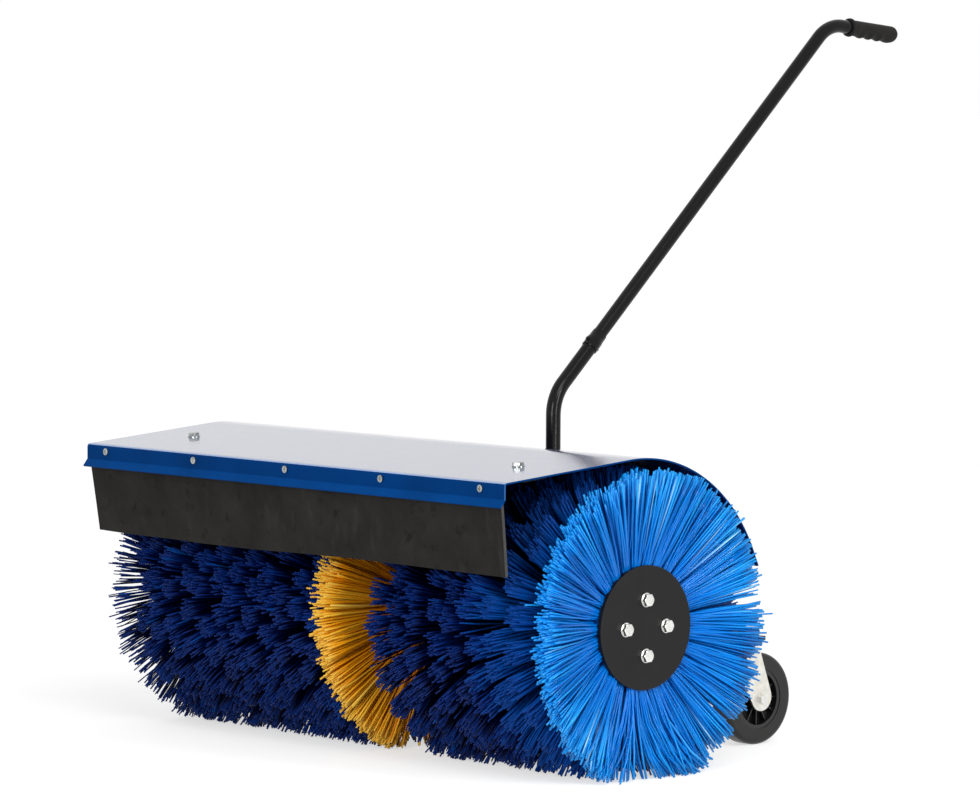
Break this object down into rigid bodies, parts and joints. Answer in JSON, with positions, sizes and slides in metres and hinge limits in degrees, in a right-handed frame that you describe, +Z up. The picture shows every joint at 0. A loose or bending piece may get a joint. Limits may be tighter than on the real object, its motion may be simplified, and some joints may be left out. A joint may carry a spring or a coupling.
{
  "type": "power brush sweeper",
  "caption": "Driven cylindrical floor brush under a folded sheet hood with a rubber front flap, on trailing casters, with a bent tube push handle.",
  "frame": {"origin": "on the floor, under the middle of the bounding box", "axes": "+X along the brush to the end with the light blue ring, +Y to the rear (handle and casters), +Z up"},
  "size_m": [0.914, 1.2512, 1.0504],
  "materials": {
    "hood_paint": "gloss",
    "frame_paint": "satin",
    "zinc": "satin",
    "steel": "satin",
    "gearbox_paint": "satin",
    "flap_rubber": "matte",
    "seal_rubber": "matte",
    "handle_paint": "satin",
    "grip_rubber": "matte",
    "disc_paint": "satin",
    "cap_plastic": "matte",
    "bristle_navy": "satin",
    "bristle_gold": "satin",
    "bristle_azure": "satin",
    "rim_plastic": "satin",
    "tyre_rubber": "matte",
    "bush_brass": "satin"
  },
  "bodies": {
    "frame": {"hood": "hood_paint", "hood_rail": "frame_paint", "hood_bolts": "zinc", "hood_straps": "frame_paint", "strap_bolts": "zinc", "front_flap": "flap_rubber", "flap_strip": "frame_paint", "flap_screws": "zinc", "gearbox_left": "gearbox_paint", "gearbox_right": "gearbox_paint", "gearbox_bolts": "steel", "stay_bolts": "zinc", "axle_bearings": "steel", "axle_seals": "seal_rubber", "neck_tube": "frame_paint", "neck_screws": "steel", "drive_bearings": "steel", "drive_seal": "seal_rubber", "rear_frame": "frame_paint", "beam_caps": "cap_plastic", "socket_bolt": "zinc", "handle_lower": "handle_paint", "handle_upper": "handle_paint", "handle_collar": "handle_paint", "collar_bolt": "handle_paint", "handle_grip": "grip_rubber", "caster_plate_left": "zinc", "caster_plate_right": "zinc", "caster_bolts": "zinc", "kingpin_left": "steel", "kingpin_right": "steel"},
    "brush": {"brush_shaft": "steel", "ring_gear": "steel", "shaft_keys": "steel", "core_left": "frame_paint", "core_right": "frame_paint", "end_disc_left": "disc_paint", "end_disc_right": "disc_paint", "end_bolts": "zinc", "bristles_left": "bristle_navy", "bristles_right": "bristle_navy", "bristles_centre": "bristle_gold", "bristles_end": "bristle_azure"},
    "drive": {"drive_shaft": "steel", "pinion": "steel"},
    "swivel_left": {"fork_left": "zinc", "race_left": "zinc", "wheel_bolt_left": "zinc"},
    "wheel_left": {"rim_left": "rim_plastic", "tyre_left": "tyre_rubber", "bush_left": "bush_brass"},
    "swivel_right": {"fork_right": "zinc", "race_right": "zinc", "wheel_bolt_right": "zinc"},
    "wheel_right": {"rim_right": "rim_plastic", "tyre_right": "tyre_rubber", "bush_right": "bush_brass"}
  },
  "joints": [
    {"name": "brush_spin", "type": "hinge", "parent": "frame", "child": "brush", "pos_m": [0, -0.34961, 0.207], "axis": [1, 0, 0], "continuous": true},
    {"name": "drive_spin", "type": "hinge", "parent": "frame", "child": "drive", "pos_m": [0.065, -0.34961, 0.207], "axis": [0, 1, 0], "continuous": true},
    {"name": "swivel_left_turn", "type": "hinge", "parent": "frame", "child": "swivel_left", "pos_m": [-0.3, -0.03661, 0.147], "axis": [0, 0, 1], "continuous": true},
    {"name": "wheel_left_spin", "type": "hinge", "parent": "swivel_left", "child": "wheel_left", "pos_m": [-0.3, 0.00739, 0.0665], "axis": [1, 0, 0], "continuous": true},
    {"name": "swivel_right_turn", "type": "hinge", "parent": "frame", "child": "swivel_right", "pos_m": [0.3, -0.03661, 0.147], "axis": [0, 0, 1], "continuous": true},
    {"name": "wheel_right_spin", "type": "hinge", "parent": "swivel_right", "child": "wheel_right", "pos_m": [0.3, 0.00739, 0.0665], "axis": [1, 0, 0], "continuous": true}
  ],
  "couplings": [
    {"joint": "drive_spin", "follows": "brush_spin", "ratio": -2}
  ]
}
